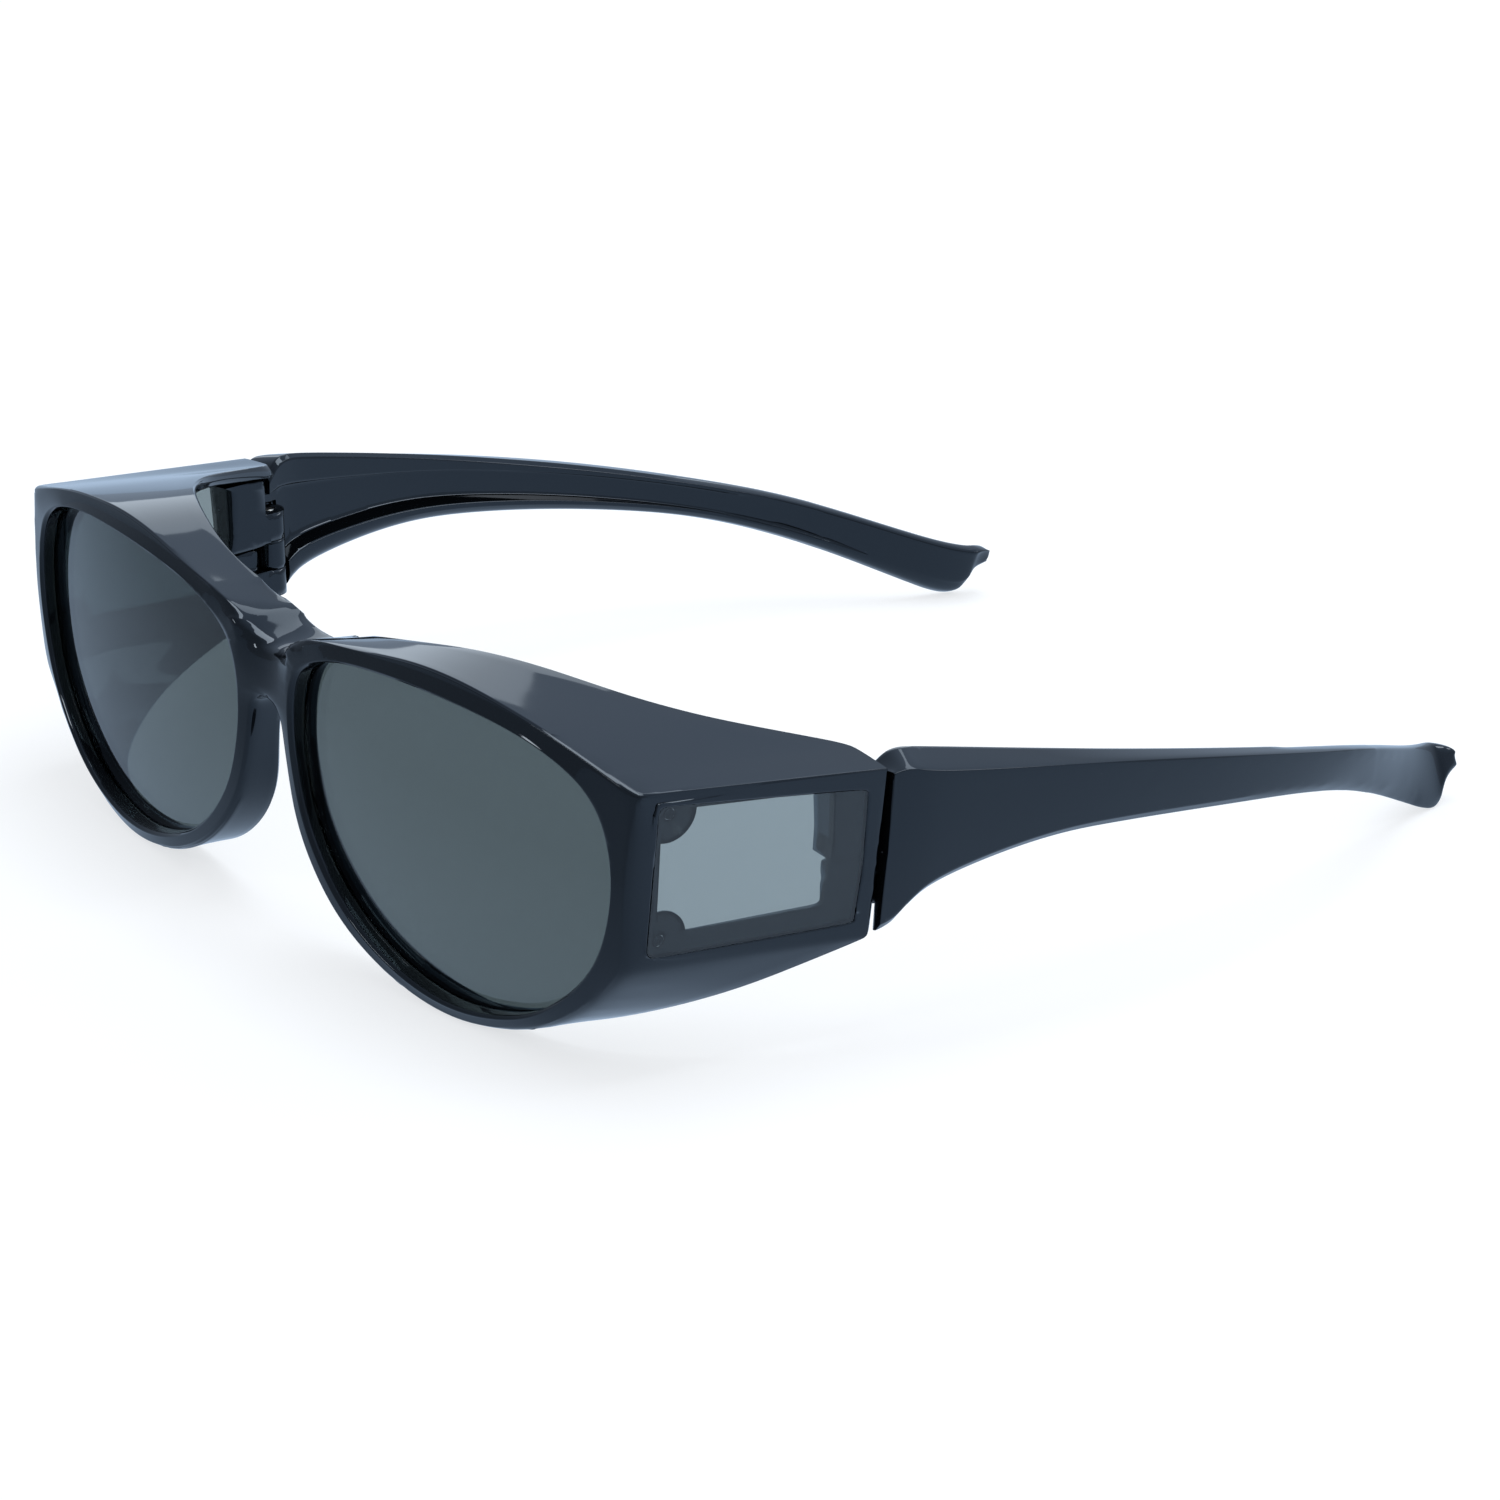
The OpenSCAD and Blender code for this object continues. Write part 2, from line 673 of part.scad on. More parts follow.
module front_frame() {
    color("#16181c")
        stand() {
            half_front();
            on_right()
                half_front();
        }
}

module lens_left() {
    color("#4c575f")
        stand()
            lens();
}

module lens_right() {
    color("#4c575f")
        stand()
            on_right()
                lens();
}

module side_lens_left() {
    color("#5a646b")
        stand()
            side_lens();
}

module side_lens_right() {
    color("#5a646b")
        stand()
            on_right()
                side_lens();
}

module temple_left() {
    color("#16181c")
        stand()
            temple();
}

module temple_right() {
    color("#16181c")
        stand()
            on_right()
                temple();
}

module hinge_screw_left() {
    color("#a9adb3")
        stand()
            hinge_screw();
}

module hinge_screw_right() {
    color("#a9adb3")
        stand()
            on_right()
                hinge_screw();
}

front_frame();
lens_left();
lens_right();
side_lens_left();
side_lens_right();
temple_left();
temple_right();
hinge_screw_left();
hinge_screw_right();
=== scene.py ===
import json
import math

import bmesh
import bpy
import numpy as np
from bpy.props import FloatProperty, FloatVectorProperty, PointerProperty
from mathutils import Matrix, Vector

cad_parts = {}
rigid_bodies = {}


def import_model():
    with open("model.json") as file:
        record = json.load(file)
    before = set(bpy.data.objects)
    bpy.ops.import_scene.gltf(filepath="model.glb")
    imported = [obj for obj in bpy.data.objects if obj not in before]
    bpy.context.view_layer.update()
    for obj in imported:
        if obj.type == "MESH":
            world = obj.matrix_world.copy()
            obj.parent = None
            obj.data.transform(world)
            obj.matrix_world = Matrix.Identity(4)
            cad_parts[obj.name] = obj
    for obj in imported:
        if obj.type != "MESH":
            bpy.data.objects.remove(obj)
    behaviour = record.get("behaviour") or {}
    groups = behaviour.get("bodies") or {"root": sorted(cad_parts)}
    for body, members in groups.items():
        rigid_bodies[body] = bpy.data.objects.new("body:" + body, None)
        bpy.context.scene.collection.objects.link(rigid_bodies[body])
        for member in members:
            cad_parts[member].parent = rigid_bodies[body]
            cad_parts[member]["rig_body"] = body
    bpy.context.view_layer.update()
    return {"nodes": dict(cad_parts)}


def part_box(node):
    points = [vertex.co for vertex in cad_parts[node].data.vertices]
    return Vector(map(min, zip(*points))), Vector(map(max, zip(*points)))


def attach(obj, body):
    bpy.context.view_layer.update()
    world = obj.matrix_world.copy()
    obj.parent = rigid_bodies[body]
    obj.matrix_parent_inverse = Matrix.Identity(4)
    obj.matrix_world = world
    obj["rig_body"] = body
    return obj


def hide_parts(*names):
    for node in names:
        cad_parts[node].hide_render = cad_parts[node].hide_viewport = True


bl_info = {
    "name": "Fit-over glasses finish",
    "version": (1, 0, 0),
    "blender": (4, 5, 0),
    "location": "3D View > Sidebar > Glasses",
    "description": "Smooth shells, lenses, finishes and a studio for fit-over safety glasses",
    "category": "Add Mesh",
}

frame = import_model()
MM = 0.001
# Side lens plate, with a little over for its rounded rim
PLATE_THICKNESS = 1.4 * MM
# Points of the CAD mesh that are one point, and slivers along the seam of the two cups
SAME_POINT = 0.001 * MM
SEAM_SLIVER = 0.3 * MM
# Triangles that make one quad: how far it may bend, and how far its corners may leave the square
QUAD_BEND = math.radians(50)
QUAD_SKEW = math.radians(120)
# How many times points are drawn towards their neighbours
SKIN_ROUNDS = 30
BRIDGE_ROUNDS = 40
# The same along a temple: from each distance back, so many rounds more
TEMPLE_ROUNDS = ((45 * MM, 8), (52 * MM, 12), (60 * MM, 40), (84 * MM, 30))
# Corners of the small flat-sided pieces are shaded sharp from this turn
PLAIN_EDGE = math.radians(30)
# Distance within which a point belongs to a lens's sphere, and the same for a face's direction
SPHERE_REACH = 0.12 * MM
SPHERE_FACING = 0.97
# Share of a lens face's normal along Y, from which it counts as front or back
LENS_FACING = 0.6
# Point that all lamps are aimed at
AIM = Vector((0, 0, 0.03))


# Colours and node trees

def linear(hex_colour):
    """An sRGB hex colour as linear RGBA."""
    parts = [int(hex_colour[i:i + 2], 16) / 255 for i in (1, 3, 5)]
    return (*[c / 12.92 if c <= 0.04045 else ((c + 0.055) / 1.055) ** 2.4 for c in parts], 1.0)


def add_node(tree, kind, links=(), **settings):
    """Adds a node: settings are its properties or input values, links are (input, output) pairs."""
    node = tree.nodes.new(kind)
    for key, value in settings.items():
        name = key.replace("_", " ")
        if key in node.bl_rna.properties:
            setattr(node, key, value)
        else:
            node.inputs[name].default_value = value
    for socket, source in links:
        tree.links.new(source, node.inputs[socket])
    return node


def new_material(name):
    """An empty node material and its output node."""
    material = bpy.data.materials.new(name)
    material.use_nodes = True
    material.node_tree.nodes.clear()
    return material, add_node(material.node_tree, "ShaderNodeOutputMaterial")


def moulded_black_nylon():
    """Polished injection-moulded nylon: a deep blue-black body under a hard gloss, with the faint
    waviness that a moulded skin has and a few grains of dust."""
    looks = bpy.context.scene.glasses_looks
    material, output = new_material("Moulded black nylon, polished")
    tree = material.node_tree
    place = add_node(tree, "ShaderNodeTexCoord")
    # Sink waviness: about 6 mm from crest to crest, a few micrometres deep
    waves = add_node(tree, "ShaderNodeTexNoise", [("Vector", place.outputs["Object"])],
                     Scale=1 / (6 * MM), Detail=1.0, Roughness=0.4)
    waviness = add_node(tree, "ShaderNodeBump", [("Height", waves.outputs["Fac"])],
                        Strength=0.35, Distance=0.012 * MM)
    # Dust grains: one cell in many carries a speck of about 0.15 mm
    cells = add_node(tree, "ShaderNodeTexVoronoi", [("Vector", place.outputs["Object"])],
                     Scale=1 / (3.2 * MM), Randomness=1.0)
    speck = add_node(tree, "ShaderNodeMapRange", [("Value", cells.outputs["Distance"])],
                     From_Min=0.030, From_Max=0.045, To_Min=1.0, To_Max=0.0)
    chosen = add_node(tree, "ShaderNodeSeparateColor", [("Color", cells.outputs["Color"])])
    rare = add_node(tree, "ShaderNodeMath", [(0, chosen.outputs["Red"])], operation="GREATER_THAN")
    rare.inputs[1].default_value = 0.93
    dust = add_node(tree, "ShaderNodeMath",
                    [(0, speck.outputs["Result"]), (1, rare.outputs[0])], operation="MULTIPLY")
    colour = add_node(tree, "ShaderNodeMix", [("Factor", dust.outputs[0])], data_type="RGBA")
    colour.inputs[6].default_value = (*looks.nylon_colour, 1.0)
    colour.inputs[7].default_value = linear("#5c646c")
    rough = add_node(tree, "ShaderNodeMapRange", [("Value", dust.outputs[0])],
                     To_Min=looks.nylon_roughness, To_Max=0.6)
    shader = add_node(tree, "ShaderNodeBsdfPrincipled",
                      [("Base Color", colour.outputs[2]), ("Roughness", rough.outputs["Result"]),
                       ("Normal", waviness.outputs["Normal"])],
                      IOR=1.53)
    shader.inputs["Specular Tint"].default_value = linear("#e4f1ff")
    tree.links.new(shader.outputs["BSDF"], output.inputs["Surface"])
    return material


def tinted_polycarbonate(name, tint, roughness):
    """Moulded polycarbonate, dyed through: clear, with a hard-coated gloss, a smoke tint and a
    faint haze where the coat has run."""
    material, output = new_material(name)
    tree = material.node_tree
    place = add_node(tree, "ShaderNodeTexCoord")
    # Runs of the dipped coat: about 9 mm across
    runs = add_node(tree, "ShaderNodeTexNoise", [("Vector", place.outputs["Object"])],
                    Scale=1 / (9 * MM), Detail=1.0)
    haze = add_node(tree, "ShaderNodeMapRange", [("Value", runs.outputs["Fac"])],
                    To_Min=roughness * 0.6, To_Max=roughness * 1.4)
    shader = add_node(tree, "ShaderNodeBsdfPrincipled", [("Roughness", haze.outputs["Result"])],
                      Base_Color=tint, IOR=1.585)
    shader.inputs["Transmission Weight"].default_value = 1.0
    tree.links.new(shader.outputs["BSDF"], output.inputs["Surface"])
    return material


def clouded_polycarbonate_and_painted_shade(name, dark, light):
    """Polycarbonate that no longer lets light through. At a peg it is melted over with a hot tool:
    dull and clouded.
    At a plate's edge its near-black is painted shade, for the dark gap between the plate and its
    pocket."""
    material, output = new_material(name)
    tree = material.node_tree
    place = add_node(tree, "ShaderNodeTexCoord")
    cloud = add_node(tree, "ShaderNodeTexNoise", [("Vector", place.outputs["Object"])],
                     Scale=1 / (0.8 * MM), Detail=2.0)
    colour = add_node(tree, "ShaderNodeMix", [("Factor", cloud.outputs["Fac"])], data_type="RGBA")
    colour.inputs[6].default_value = linear(dark)
    colour.inputs[7].default_value = linear(light)
    shader = add_node(tree, "ShaderNodeBsdfPrincipled", [("Base Color", colour.outputs[2])],
                      Roughness=0.5, IOR=1.585)
    tree.links.new(shader.outputs["BSDF"], output.inputs["Surface"])
    return material


def nickel_plated_steel():
    """Small steel screw, nickel plated: warm grey, its gloss uneven from turning."""
    material, output = new_material("Nickel-plated steel, turned")
    tree = material.node_tree
    place = add_node(tree, "ShaderNodeTexCoord")
    grain = add_node(tree, "ShaderNodeTexNoise", [("Vector", place.outputs["Object"])],
                     Scale=1 / (0.4 * MM), Detail=2.0)
    rough = add_node(tree, "ShaderNodeMapRange", [("Value", grain.outputs["Fac"])],
                     To_Min=0.22, To_Max=0.4)
    shader = add_node(tree, "ShaderNodeBsdfPrincipled", [("Roughness", rough.outputs["Result"])],
                      Base_Color=linear("#c9c5bc"), Metallic=1.0)
    tree.links.new(shader.outputs["BSDF"], output.inputs["Surface"])
    return material


# Meshes

def only(piece):
    """Deselects all, then selects one object and makes it the active one."""
    bpy.ops.object.select_all(action="DESELECT")
    piece.select_set(True)
    bpy.context.view_layer.objects.active = piece


def merged_copy(node, name):
    """A copy of a CAD node's mesh with its loose triangles joined, as a new object."""
    piece = bpy.data.objects.new(name, frame["nodes"][node].data.copy())
    bpy.context.scene.collection.objects.link(piece)
    piece.data.materials.clear()
    only(piece)
    bpy.ops.object.mode_set(mode="EDIT")
    bpy.ops.mesh.select_mode(type="VERT")
    bpy.ops.mesh.select_all(action="SELECT")
    bpy.ops.mesh.remove_doubles(threshold=SAME_POINT)
    bpy.ops.object.mode_set(mode="OBJECT")
    return piece


def shade(piece, angle):
    """Smooth shading up to an angle, in which the large faces keep their direction."""
    only(piece)
    bpy.ops.object.shade_smooth_by_angle(angle=angle)
    weigh = piece.modifiers.new("Large faces lead", "WEIGHTED_NORMAL")
    weigh.keep_sharp = True
    bpy.ops.object.modifier_apply(modifier=weigh.name)


def gentle_points(piece, turn):
    """For each point of a mesh, whether no edge there turns more than this."""
    mesh = bmesh.new()
    mesh.from_mesh(piece.data)
    gentle = [all(edge.is_manifold and edge.calc_face_angle() < turn for edge in point.link_edges)
              for point in mesh.verts]
    mesh.free()
    return gentle


def pick(piece, chosen):
    """Selects the chosen points, and what lies between them, in edit mode."""
    only(piece)
    bpy.ops.object.mode_set(mode="EDIT")
    bpy.ops.mesh.select_mode(type="VERT")
    bpy.ops.mesh.select_all(action="DESELECT")
    bpy.ops.object.mode_set(mode="OBJECT")
    piece.data.vertices.foreach_set("select", chosen)
    bpy.ops.object.mode_set(mode="EDIT")


def relax(piece, chosen, rounds):
    """Draws the chosen points towards their neighbours, so that reflections run on evenly."""
    pick(piece, chosen)
    bpy.ops.mesh.vertices_smooth(factor=0.5, repeat=rounds)
    bpy.ops.object.mode_set(mode="OBJECT")


def at_seam(point):
    """Whether a point lies on the middle of the bridge, where the two cups were joined."""
    return abs(point.co.x) < 1.5 * MM and point.co.z > 33 * MM


def at_bridge(point):
    """Whether a point lies on the bridge or on the brows beside it."""
    return (abs(point.co.x) < 5.8 * MM and point.co.z > 34 * MM
            or abs(point.co.x) < 13 * MM and point.co.z > 43.2 * MM)


def refine(piece, levels):
    """Turns the triangles back into quads, holds the edges that turn and smooths along them."""
    sizes = bpy.context.scene.glasses_sizes
    pick(piece, [at_seam(point) for point in piece.data.vertices])
    bpy.ops.mesh.remove_doubles(threshold=SEAM_SLIVER)
    bpy.ops.object.mode_set(mode="OBJECT")
    only(piece)
    bpy.ops.object.mode_set(mode="EDIT")
    bpy.ops.mesh.select_mode(type="EDGE")
    bpy.ops.mesh.select_all(action="SELECT")
    bpy.ops.mesh.tris_convert_to_quads(face_threshold=QUAD_BEND, shape_threshold=QUAD_SKEW)
    bpy.ops.mesh.select_all(action="DESELECT")
    bpy.ops.mesh.edges_select_sharp(sharpness=sizes.held_edge)
    bpy.ops.transform.edge_crease(value=1.0)
    bpy.ops.object.mode_set(mode="OBJECT")
    pick(piece, [at_seam(point) for point in piece.data.vertices])
    bpy.ops.transform.edge_crease(value=-1.0)
    bpy.ops.object.mode_set(mode="OBJECT")
    smooth = piece.modifiers.new("Smooth skin", "SUBSURF")
    smooth.levels = levels
    smooth.render_levels = levels
    bpy.ops.object.modifier_apply(modifier=smooth.name)
    relax(piece, gentle_points(piece, sizes.gentle), SKIN_ROUNDS)


def finish_piece(piece, node, material):
    """Gives a piece its material and lets it stand for its CAD node."""
    piece.data.materials.append(material)
    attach(piece, frame["nodes"][node]["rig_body"])
    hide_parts(node)


class GlassesSizes(bpy.types.PropertyGroup):
    held_edge: FloatProperty(
        name="Held edge", description="Edges that turn more than this keep their place",
        default=math.radians(34), subtype="ANGLE")
    gentle: FloatProperty(
        name="Gentle turn", description="Points whose edges turn less than this are evened out",
        default=math.radians(7), subtype="ANGLE")
    hard_edge: FloatProperty(
        name="Hard edge", description="Edges that turn more than this are shaded sharp",
        default=math.radians(62), subtype="ANGLE")
    lens_step: FloatProperty(
        name="Lens step", description="Spacing of the grid that rounds a lens",
        default=2 * MM, subtype="DISTANCE", unit="LENGTH")


class GlassesLooks(bpy.types.PropertyGroup):
    nylon_colour: FloatVectorProperty(
        name="Nylon", description="Body colour of the moulded frame and temples",
        default=linear("#06080b")[:3], subtype="COLOR")
    nylon_roughness: FloatProperty(
        name="Gloss", description="Roughness of the polished nylon", default=0.05, subtype="FACTOR")
    lens_tint: FloatVectorProperty(
        name="Front lens tint", description="What a front lens lets through",
        default=(0.066, 0.089, 0.095), subtype="COLOR")
    side_tint: FloatVectorProperty(
        name="Side lens tint", description="What a side lens lets through",
        default=(0.215, 0.27, 0.295), subtype="COLOR")


class GLASSES_OT_frame(bpy.types.Operator):
    """Front frame: both lens cups, the brow shelves, the bridge and the hinge blocks"""
    bl_idname = "glasses.frame"
    bl_label = "Front frame"

    def execute(self, context):
        piece = merged_copy("front_frame", "moulded_front")
        refine(piece, 2)
        # The two cups run into each other at the bridge, in one soft saddle
        relax(piece, [at_bridge(point) for point in piece.data.vertices], BRIDGE_ROUNDS)
        shade(piece, context.scene.glasses_sizes.hard_edge)
        finish_piece(piece, "front_frame", moulded_black_nylon())
        return {"FINISHED"}


class GLASSES_OT_temples(bpy.types.Operator):
    """Temples: the two folding arms"""
    bl_idname = "glasses.temples"
    bl_label = "Temples"

    def execute(self, context):
        material = moulded_black_nylon()
        for side in ("left", "right"):
            piece = merged_copy(f"temple_{side}", f"temple_arm_{side}")
            refine(piece, 3)
            # The part behind the ear is evened out, and the edges of its end are softened
            for start, rounds in TEMPLE_ROUNDS:
                relax(piece, [point.co.y > start for point in piece.data.vertices], rounds)
            shade(piece, context.scene.glasses_sizes.hard_edge)
            finish_piece(piece, f"temple_{side}", material)
        return {"FINISHED"}


def fit_sphere(points):
    """Centre and radius of the sphere that fits a cloud of points best."""
    rows = np.column_stack([2 * points, np.ones(len(points))])
    found = np.linalg.lstsq(rows, (points ** 2).sum(1), rcond=None)[0]
    return found[:3], math.sqrt(found[3] + (found[:3] ** 2).sum())


class GLASSES_OT_lenses(bpy.types.Operator):
    """Front lenses: spherical shells seated in the rims' grooves"""
    bl_idname = "glasses.lenses"
    bl_label = "Front lenses"

    def execute(self, context):
        looks = context.scene.glasses_looks
        step = context.scene.glasses_sizes.lens_step
        material = tinted_polycarbonate(
            "Smoke polycarbonate, hard-coated", (*looks.lens_tint, 1.0), 0.02)
        for side in ("left", "right"):
            node = f"lens_{side}"
            piece = merged_copy(node, f"front_lens_{side}")
            self.round_off(piece, node, step)
            finish_piece(piece, node, material)
        return {"FINISHED"}

    def round_off(self, piece, node, step):
        """Cuts the flat facets into a grid and lifts its points onto the two spheres."""
        low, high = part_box(node)
        normals = np.array([p.normal for p in piece.data.polygons])
        shells = [fit_sphere(self.face_points(piece, normals[:, 1] < -LENS_FACING)),
                  fit_sphere(self.face_points(piece, normals[:, 1] > LENS_FACING))]
        only(piece)
        bpy.ops.object.mode_set(mode="EDIT")
        for axis in (0, 2):
            across = [0.0, 0.0, 0.0]
            across[axis] = 1.0
            for i in range(1, int((high[axis] - low[axis]) / step)):
                at = list(low)
                at[axis] += i * step
                bpy.ops.mesh.select_all(action="SELECT")
                bpy.ops.mesh.bisect(plane_co=at, plane_no=across)
        bpy.ops.object.mode_set(mode="OBJECT")
        for vertex in piece.data.vertices:
            for centre, radius in shells:
                arm = vertex.co - Vector(centre)
                if abs(arm.length - radius) < SPHERE_REACH:
                    vertex.co = Vector(centre) + arm * (radius / arm.length)
        bpy.ops.object.shade_smooth_by_angle(angle=PLAIN_EDGE)
        # Each corner takes its sphere's own direction, so that nothing shows of the grid
        mesh = piece.data
        corners = [corner.vector.copy() for corner in mesh.corner_normals]
        for face in mesh.polygons:
            for corner in face.loop_indices:
                for centre, radius in shells:
                    point = mesh.vertices[mesh.loops[corner].vertex_index].co
                    arm = (point - Vector(centre)).normalized()
                    if abs(arm.dot(face.normal)) > SPHERE_FACING:
                        corners[corner] = arm * math.copysign(1.0, arm.dot(face.normal))
        mesh.normals_split_custom_set(corners)

    def face_points(self, piece, chosen):
        """The points of the chosen faces."""
        ids = sorted({i for p, c in zip(piece.data.polygons, chosen) if c for i in p.vertices})
        return np.array([piece.data.vertices[i].co for i in ids])


class GLASSES_OT_side_lenses(bpy.types.Operator):
    """Side lenses: flat plates in the side walls' pockets"""
    bl_idname = "glasses.side_lenses"
    bl_label = "Side lenses"

    def execute(self, context):
        looks = context.scene.glasses_looks
        material = tinted_polycarbonate(
            "Light smoke polycarbonate", (*looks.side_tint, 1.0), 0.03)
        stake = clouded_polycarbonate_and_painted_shade("Heat-staked polycarbonate peg", "#3c444c", "#59626a")
        # The plate's edge is painted near-black: painted shade for the dark gap between plate and
        # pocket
        edge = clouded_polycarbonate_and_painted_shade("Polycarbonate plate edge, painted shade", "#040506", "#0b0d0f")
        for side in ("left", "right"):
            node = f"side_lens_{side}"
            piece = merged_copy(node, f"side_window_{side}")
            shade(piece, PLAIN_EDGE)
            finish_piece(piece, node, material)
            piece.data.materials.append(stake)
            piece.data.materials.append(edge)
            self.mark_faces(piece)
        return {"FINISHED"}

    def mark_faces(self, piece):
        """Gives the pegs, behind the plate, the second material, and the plate's edge the third: a
        near-black painted shade for the gap around the plate.
        """
        plate = max(piece.data.polygons, key=lambda p: p.area * abs(p.normal.x))
        outward = plate.normal * math.copysign(1.0, plate.normal.x * plate.center.x)
        front = max(v.co.dot(outward) for v in piece.data.vertices)
        for face in piece.data.polygons:
            if front - face.center.dot(outward) > PLATE_THICKNESS:
                face.material_index = 1
            elif abs(face.normal.dot(outward)) < 0.9:
                # Edge faces take the painted shade of the gap around the plate
                face.material_index = 2


class GLASSES_OT_screws(bpy.types.Operator):
    """Hinge screws: slotted heads seen from below"""
    bl_idname = "glasses.screws"
    bl_label = "Hinge screws"

    def execute(self, context):
        material = nickel_plated_steel()
        for side in ("left", "right"):
            node = f"hinge_screw_{side}"
            piece = merged_copy(node, f"screw_{side}")
            only(piece)
            bpy.ops.object.shade_smooth_by_angle(angle=PLAIN_EDGE)
            finish_piece(piece, node, material)
        return {"FINISHED"}


# Camera of the photograph, measured on the upright glasses in mm and degrees
CAMERA_AT = Vector((585.7, -390.2, 300.4))
CAMERA_TURN = (51.63, 22.92)
CAMERA_LENS = 134.77
# How the upright glasses are tipped and moved to stand on the floor
REST_PITCH = 2.90721
REST_SHIFT = Vector((0, -76.7861, 20.3269))


def lamp(name, at, size, power, colour):
    """A rectangular softbox that shines from its place towards the glasses."""
    light = bpy.data.lights.new(name, "AREA")
    light.shape = "RECTANGLE"
    light.size, light.size_y = size
    light.energy = power
    light.color = colour
    holder = bpy.data.objects.new(name, light)
    bpy.context.scene.collection.objects.link(holder)
    holder.location = at
    holder.visible_camera = False
    holder.rotation_euler = (AIM - Vector(at)).to_track_quat("-Z", "Y").to_euler()
    return holder


class GLASSES_OT_stage(bpy.types.Operator):
    """Floor, studio light and the photograph's camera"""
    bl_idname = "glasses.stage"
    bl_label = "Studio"

    def execute(self, context):
        self.make_camera(context)
        self.make_world(context)
        self.make_floor()
        self.make_lamps()
        context.scene.view_settings.view_transform = "Standard"
        return {"FINISHED"}

    def make_camera(self, context):
        tip = Matrix.Rotation(math.radians(REST_PITCH), 4, "X")
        camera = bpy.data.cameras.new("photo_camera")
        camera.sensor_width = 36
        camera.lens = CAMERA_LENS
        camera.clip_start = 0.05
        camera.clip_end = 20
        holder = bpy.data.objects.new("photo_camera", camera)
        context.scene.collection.objects.link(holder)
        turn, dip = (math.radians(a) for a in CAMERA_TURN)
        look = Matrix.Rotation(turn, 4, "Z") @ Matrix.Rotation(math.pi / 2 - dip, 4, "X")
        holder.matrix_world = Matrix.Translation((tip @ CAMERA_AT + REST_SHIFT) * MM) @ tip @ look
        context.scene.camera = holder

    def make_world(self, context):
        world = bpy.data.worlds.new("Studio")
        context.scene.world = world
        world.use_nodes = True
        tree = world.node_tree
        tree.nodes.clear()
        output = add_node(tree, "ShaderNodeOutputWorld")
        rays = add_node(tree, "ShaderNodeLightPath")
        place = add_node(tree, "ShaderNodeTexCoord")
        # Gloss shows the room: pale blue-grey high at the back, dimmer below and in front
        split = add_node(tree, "ShaderNodeSeparateXYZ", [("Vector", place.outputs["Generated"])])
        depth = add_node(tree, "ShaderNodeMapRange", [("Value", split.outputs["Y"])],
                         From_Min=-0.6, From_Max=0.5)
        height = add_node(tree, "ShaderNodeMapRange", [("Value", split.outputs["Z"])],
                          From_Min=0.40, From_Max=0.58, To_Min=0.5, To_Max=1.0)
        far_up = add_node(tree, "ShaderNodeMath",
                          [(0, depth.outputs["Result"]), (1, height.outputs["Result"])],
                          operation="MULTIPLY")
        room = add_node(tree, "ShaderNodeMix", [("Factor", far_up.outputs[0])], data_type="RGBA")
        room.inputs[6].default_value = (0.22, 0.27, 0.34, 1.0)
        room.inputs[7].default_value = (0.60, 0.75, 0.97, 1.0)
        colour = add_node(tree, "ShaderNodeMix",
                          [("Factor", self.mirrored(tree, rays)), (7, room.outputs[2])],
                          data_type="RGBA")
        colour.inputs[6].default_value = (1.0, 1.0, 1.0, 1.0)
        strength = add_node(tree, "ShaderNodeMapRange", [("Value", self.shown(tree, rays))],
                            To_Min=0.5, To_Max=1.0)
        back = add_node(tree, "ShaderNodeBackground",
                        [("Color", colour.outputs[2]), ("Strength", strength.outputs["Result"])])
        tree.links.new(back.outputs["Background"], output.inputs["Surface"])

    def shown(self, tree, rays):
        """1 for the rays that show a surface: from the camera, in gloss and through glass."""
        seen = add_node(tree, "ShaderNodeMath",
                        [(0, rays.outputs["Is Camera Ray"]), (1, rays.outputs["Is Glossy Ray"])],
                        operation="ADD")
        return add_node(tree, "ShaderNodeMath",
                        [(0, seen.outputs[0]), (1, rays.outputs["Is Transmission Ray"])],
                        operation="ADD", use_clamp=True).outputs[0]

    def mirrored(self, tree, rays):
        """1 for a ray that a glossy surface throws back. Light through hazy glass counts as glossy
        too, so what has passed through glass is taken off."""
        return add_node(tree, "ShaderNodeMath",
                        [(0, rays.outputs["Is Glossy Ray"]),
                         (1, rays.outputs["Is Transmission Ray"])],
                        operation="SUBTRACT", use_clamp=True).outputs[0]

    def make_floor(self):
        material, output = new_material("Matt white table")
        tree = material.node_tree
        rays = add_node(tree, "ShaderNodeLightPath")
        matt = add_node(tree, "ShaderNodeBsdfDiffuse", Color=linear("#e8e8e8"))
        # Gloss and glass show the table too. In gloss it is dimmer than it looks, most so ahead of
        # the glasses, where this
        #     darkening is painted shade. That isn't physical: it keeps the nylon as dark as on the
        #     photograph
        mirrored = self.mirrored(tree, rays)
        place = add_node(tree, "ShaderNodeTexCoord")
        split = add_node(tree, "ShaderNodeSeparateXYZ", [("Vector", place.outputs["Object"])])
        ahead = add_node(tree, "ShaderNodeMapRange", [("Value", split.outputs["Y"])],
                         From_Min=-0.14, From_Max=-0.05, To_Min=0.42, To_Max=0.84)
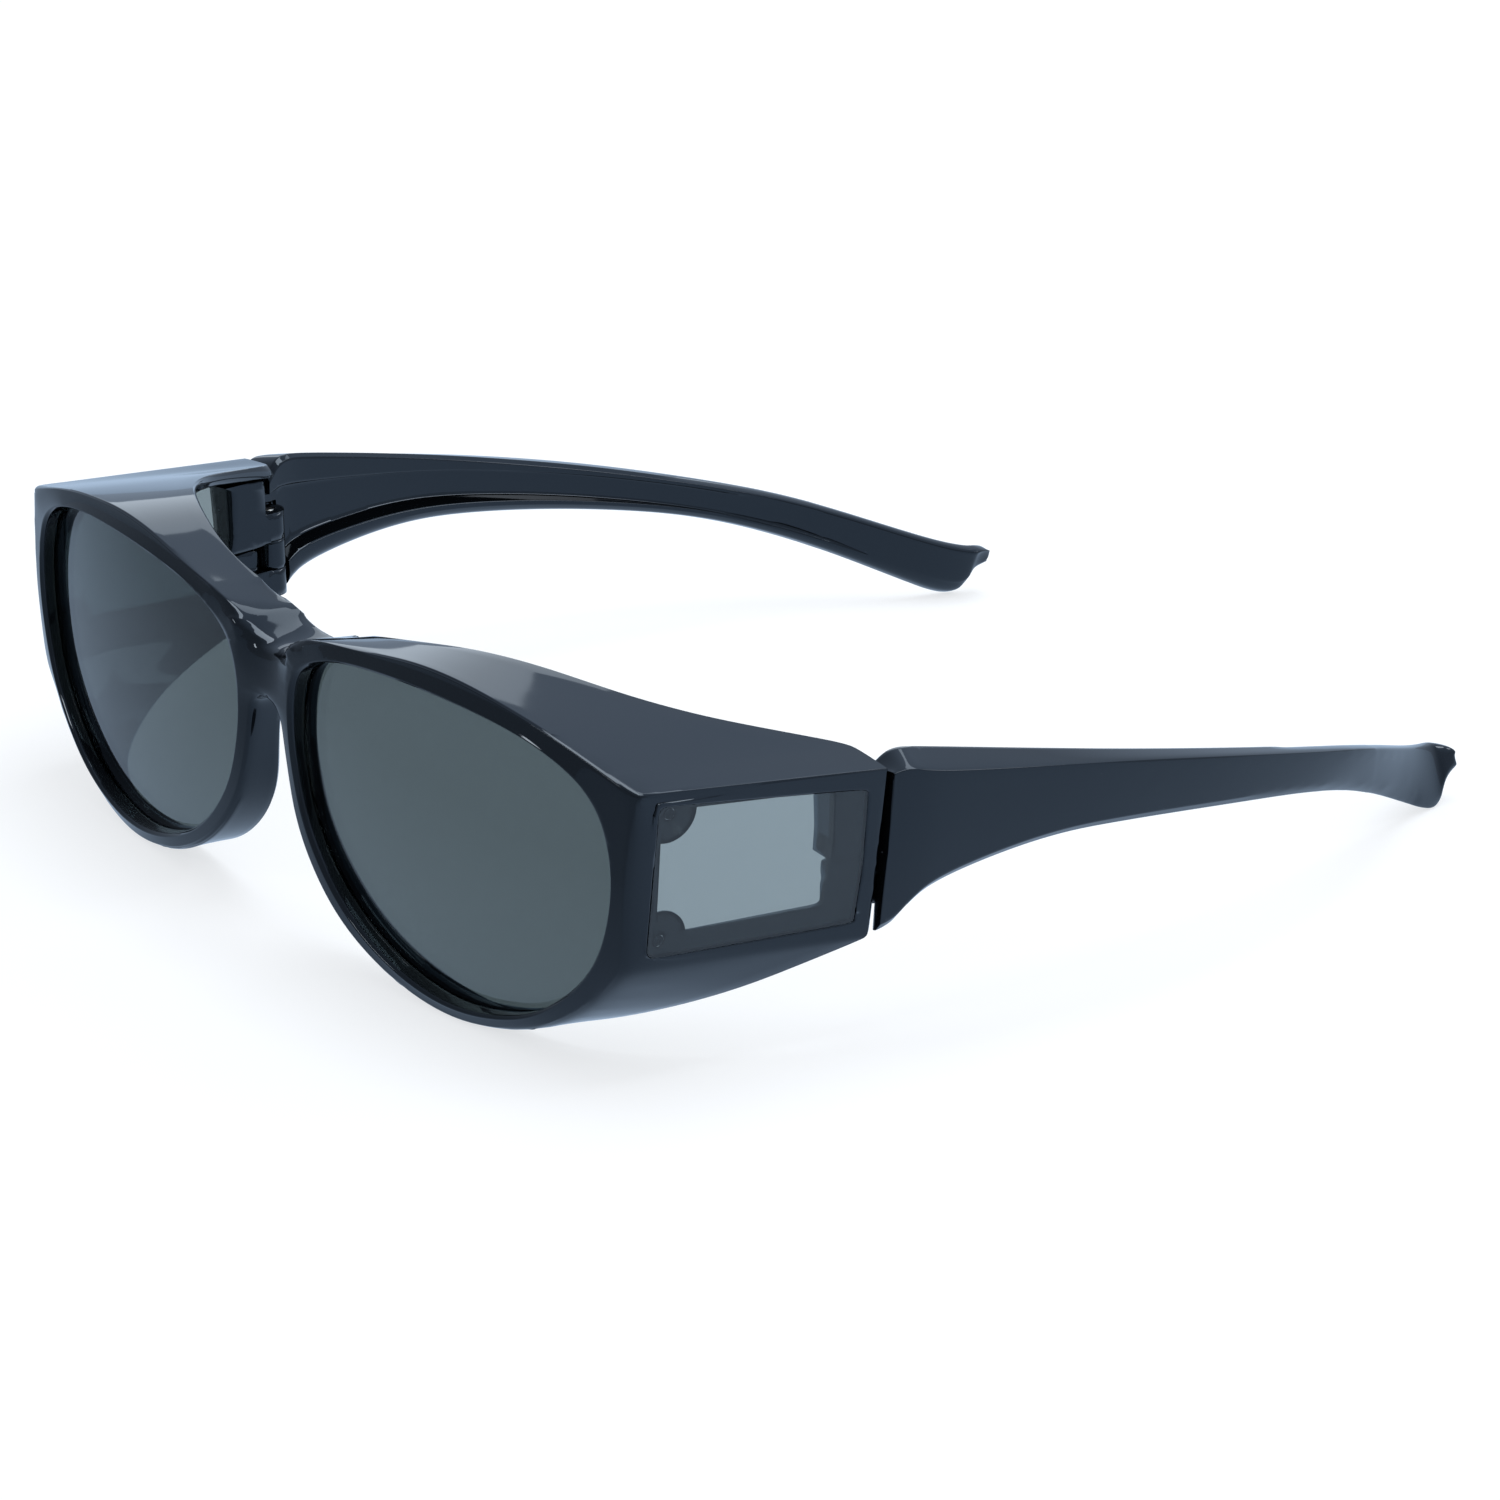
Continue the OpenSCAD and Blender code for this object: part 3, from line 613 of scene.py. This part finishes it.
        # Away from the lamps the table grows dark, and its glow makes up for that
        reach = add_node(tree, "ShaderNodeVectorMath", [(0, place.outputs["Object"])],
                         operation="LENGTH")
        away = add_node(tree, "ShaderNodeMapRange", [("Value", reach.outputs["Value"])],
                        From_Min=0.4, From_Max=2.0, To_Min=0.72, To_Max=1.0)
        level = add_node(tree, "ShaderNodeMix", [("Factor", mirrored), (2, away.outputs["Result"]),
                                                 (3, ahead.outputs["Result"])])
        cast = add_node(tree, "ShaderNodeMix", [("Factor", mirrored)], data_type="RGBA")
        cast.inputs[6].default_value = (0.96, 0.98, 1.0, 1.0)
        cast.inputs[7].default_value = (0.58, 0.77, 1.03, 1.0)
        lit = add_node(tree, "ShaderNodeMix", [("Factor", mirrored)], data_type="RGBA")
        lit.inputs[6].default_value = (0.35, 0.36, 0.38, 1.0)
        lit.inputs[7].default_value = (0.05, 0.05, 0.05, 1.0)
        dim = add_node(tree, "ShaderNodeBsdfDiffuse", [("Color", lit.outputs[2])])
        glow = add_node(tree, "ShaderNodeEmission",
                        [("Color", cast.outputs[2]), ("Strength", level.outputs[0])])
        pale = add_node(tree, "ShaderNodeAddShader",
                        [(0, dim.outputs["BSDF"]), (1, glow.outputs["Emission"])])
        mix = add_node(tree, "ShaderNodeMixShader",
                       [(0, self.shown(tree, rays)), (1, matt.outputs["BSDF"]),
                        (2, pale.outputs["Shader"])])
        tree.links.new(mix.outputs["Shader"], output.inputs["Surface"])
        bpy.ops.object.select_all(action="DESELECT")
        bpy.ops.mesh.primitive_circle_add(vertices=96, radius=4.0, fill_type="NGON",
                                          location=(0, 0, 0))
        floor = bpy.context.active_object
        floor.name = "table"
        floor.data.materials.append(material)

    def make_lamps(self):
        # Upright softbox at the back left: the pale patch on both brow shelves
        lamp("window_softbox", (-1.09, 0.71, 0.48), (0.60, 0.61), 1.15, (0.86, 0.94, 1.0))
        # Overhead softbox: the even light from above
        lamp("overhead_softbox", (0.0, 0.15, 1.2), (0.8, 0.6), 7.0, (0.92, 0.97, 1.0))
        # High softbox behind: the pale top of the bridge
        lamp("back_softbox", (-0.28, 0.69, 0.97), (0.5, 0.22), 0.6, (0.86, 0.94, 1.0))
        # Two strips for thin lights along the ridges. The front one leaves a trace on the near brow
        lamp("front_strip", (-0.19, -1.04, 0.60), (0.32, 0.12), 1.0, (1.0, 1.0, 1.0))
        lamp("side_strip", (0.55, 0.88, 0.85), (0.60, 0.15), 1.5, (1.0, 1.0, 1.0))


class GLASSES_PT_panel(bpy.types.Panel):
    """Everything that this file makes, in the order in which it is made"""
    bl_idname = "GLASSES_PT_panel"
    bl_label = "Fit-over glasses"
    bl_space_type = "VIEW_3D"
    bl_region_type = "UI"
    bl_category = "Glasses"

    def draw(self, context):
        for operator in OPERATORS:
            self.layout.operator(operator.bl_idname)
        for settings in (context.scene.glasses_sizes, context.scene.glasses_looks):
            for name in settings.__annotations__:
                self.layout.prop(settings, name)


OPERATORS = (
    GLASSES_OT_frame,
    GLASSES_OT_temples,
    GLASSES_OT_lenses,
    GLASSES_OT_side_lenses,
    GLASSES_OT_screws,
    GLASSES_OT_stage,
)
CLASSES = (GlassesSizes, GlassesLooks, *OPERATORS, GLASSES_PT_panel)


def register():
    for cls in CLASSES:
        bpy.utils.register_class(cls)
    bpy.types.Scene.glasses_sizes = PointerProperty(type=GlassesSizes)
    bpy.types.Scene.glasses_looks = PointerProperty(type=GlassesLooks)


def unregister():
    del bpy.types.Scene.glasses_looks
    del bpy.types.Scene.glasses_sizes
    for cls in reversed(CLASSES):
        bpy.utils.unregister_class(cls)


def main():
    register()
    bpy.ops.glasses.frame()
    bpy.ops.glasses.temples()
    bpy.ops.glasses.lenses()
    bpy.ops.glasses.side_lenses()
    bpy.ops.glasses.screws()
    bpy.ops.glasses.stage()


if __name__ == "__main__":
    main()
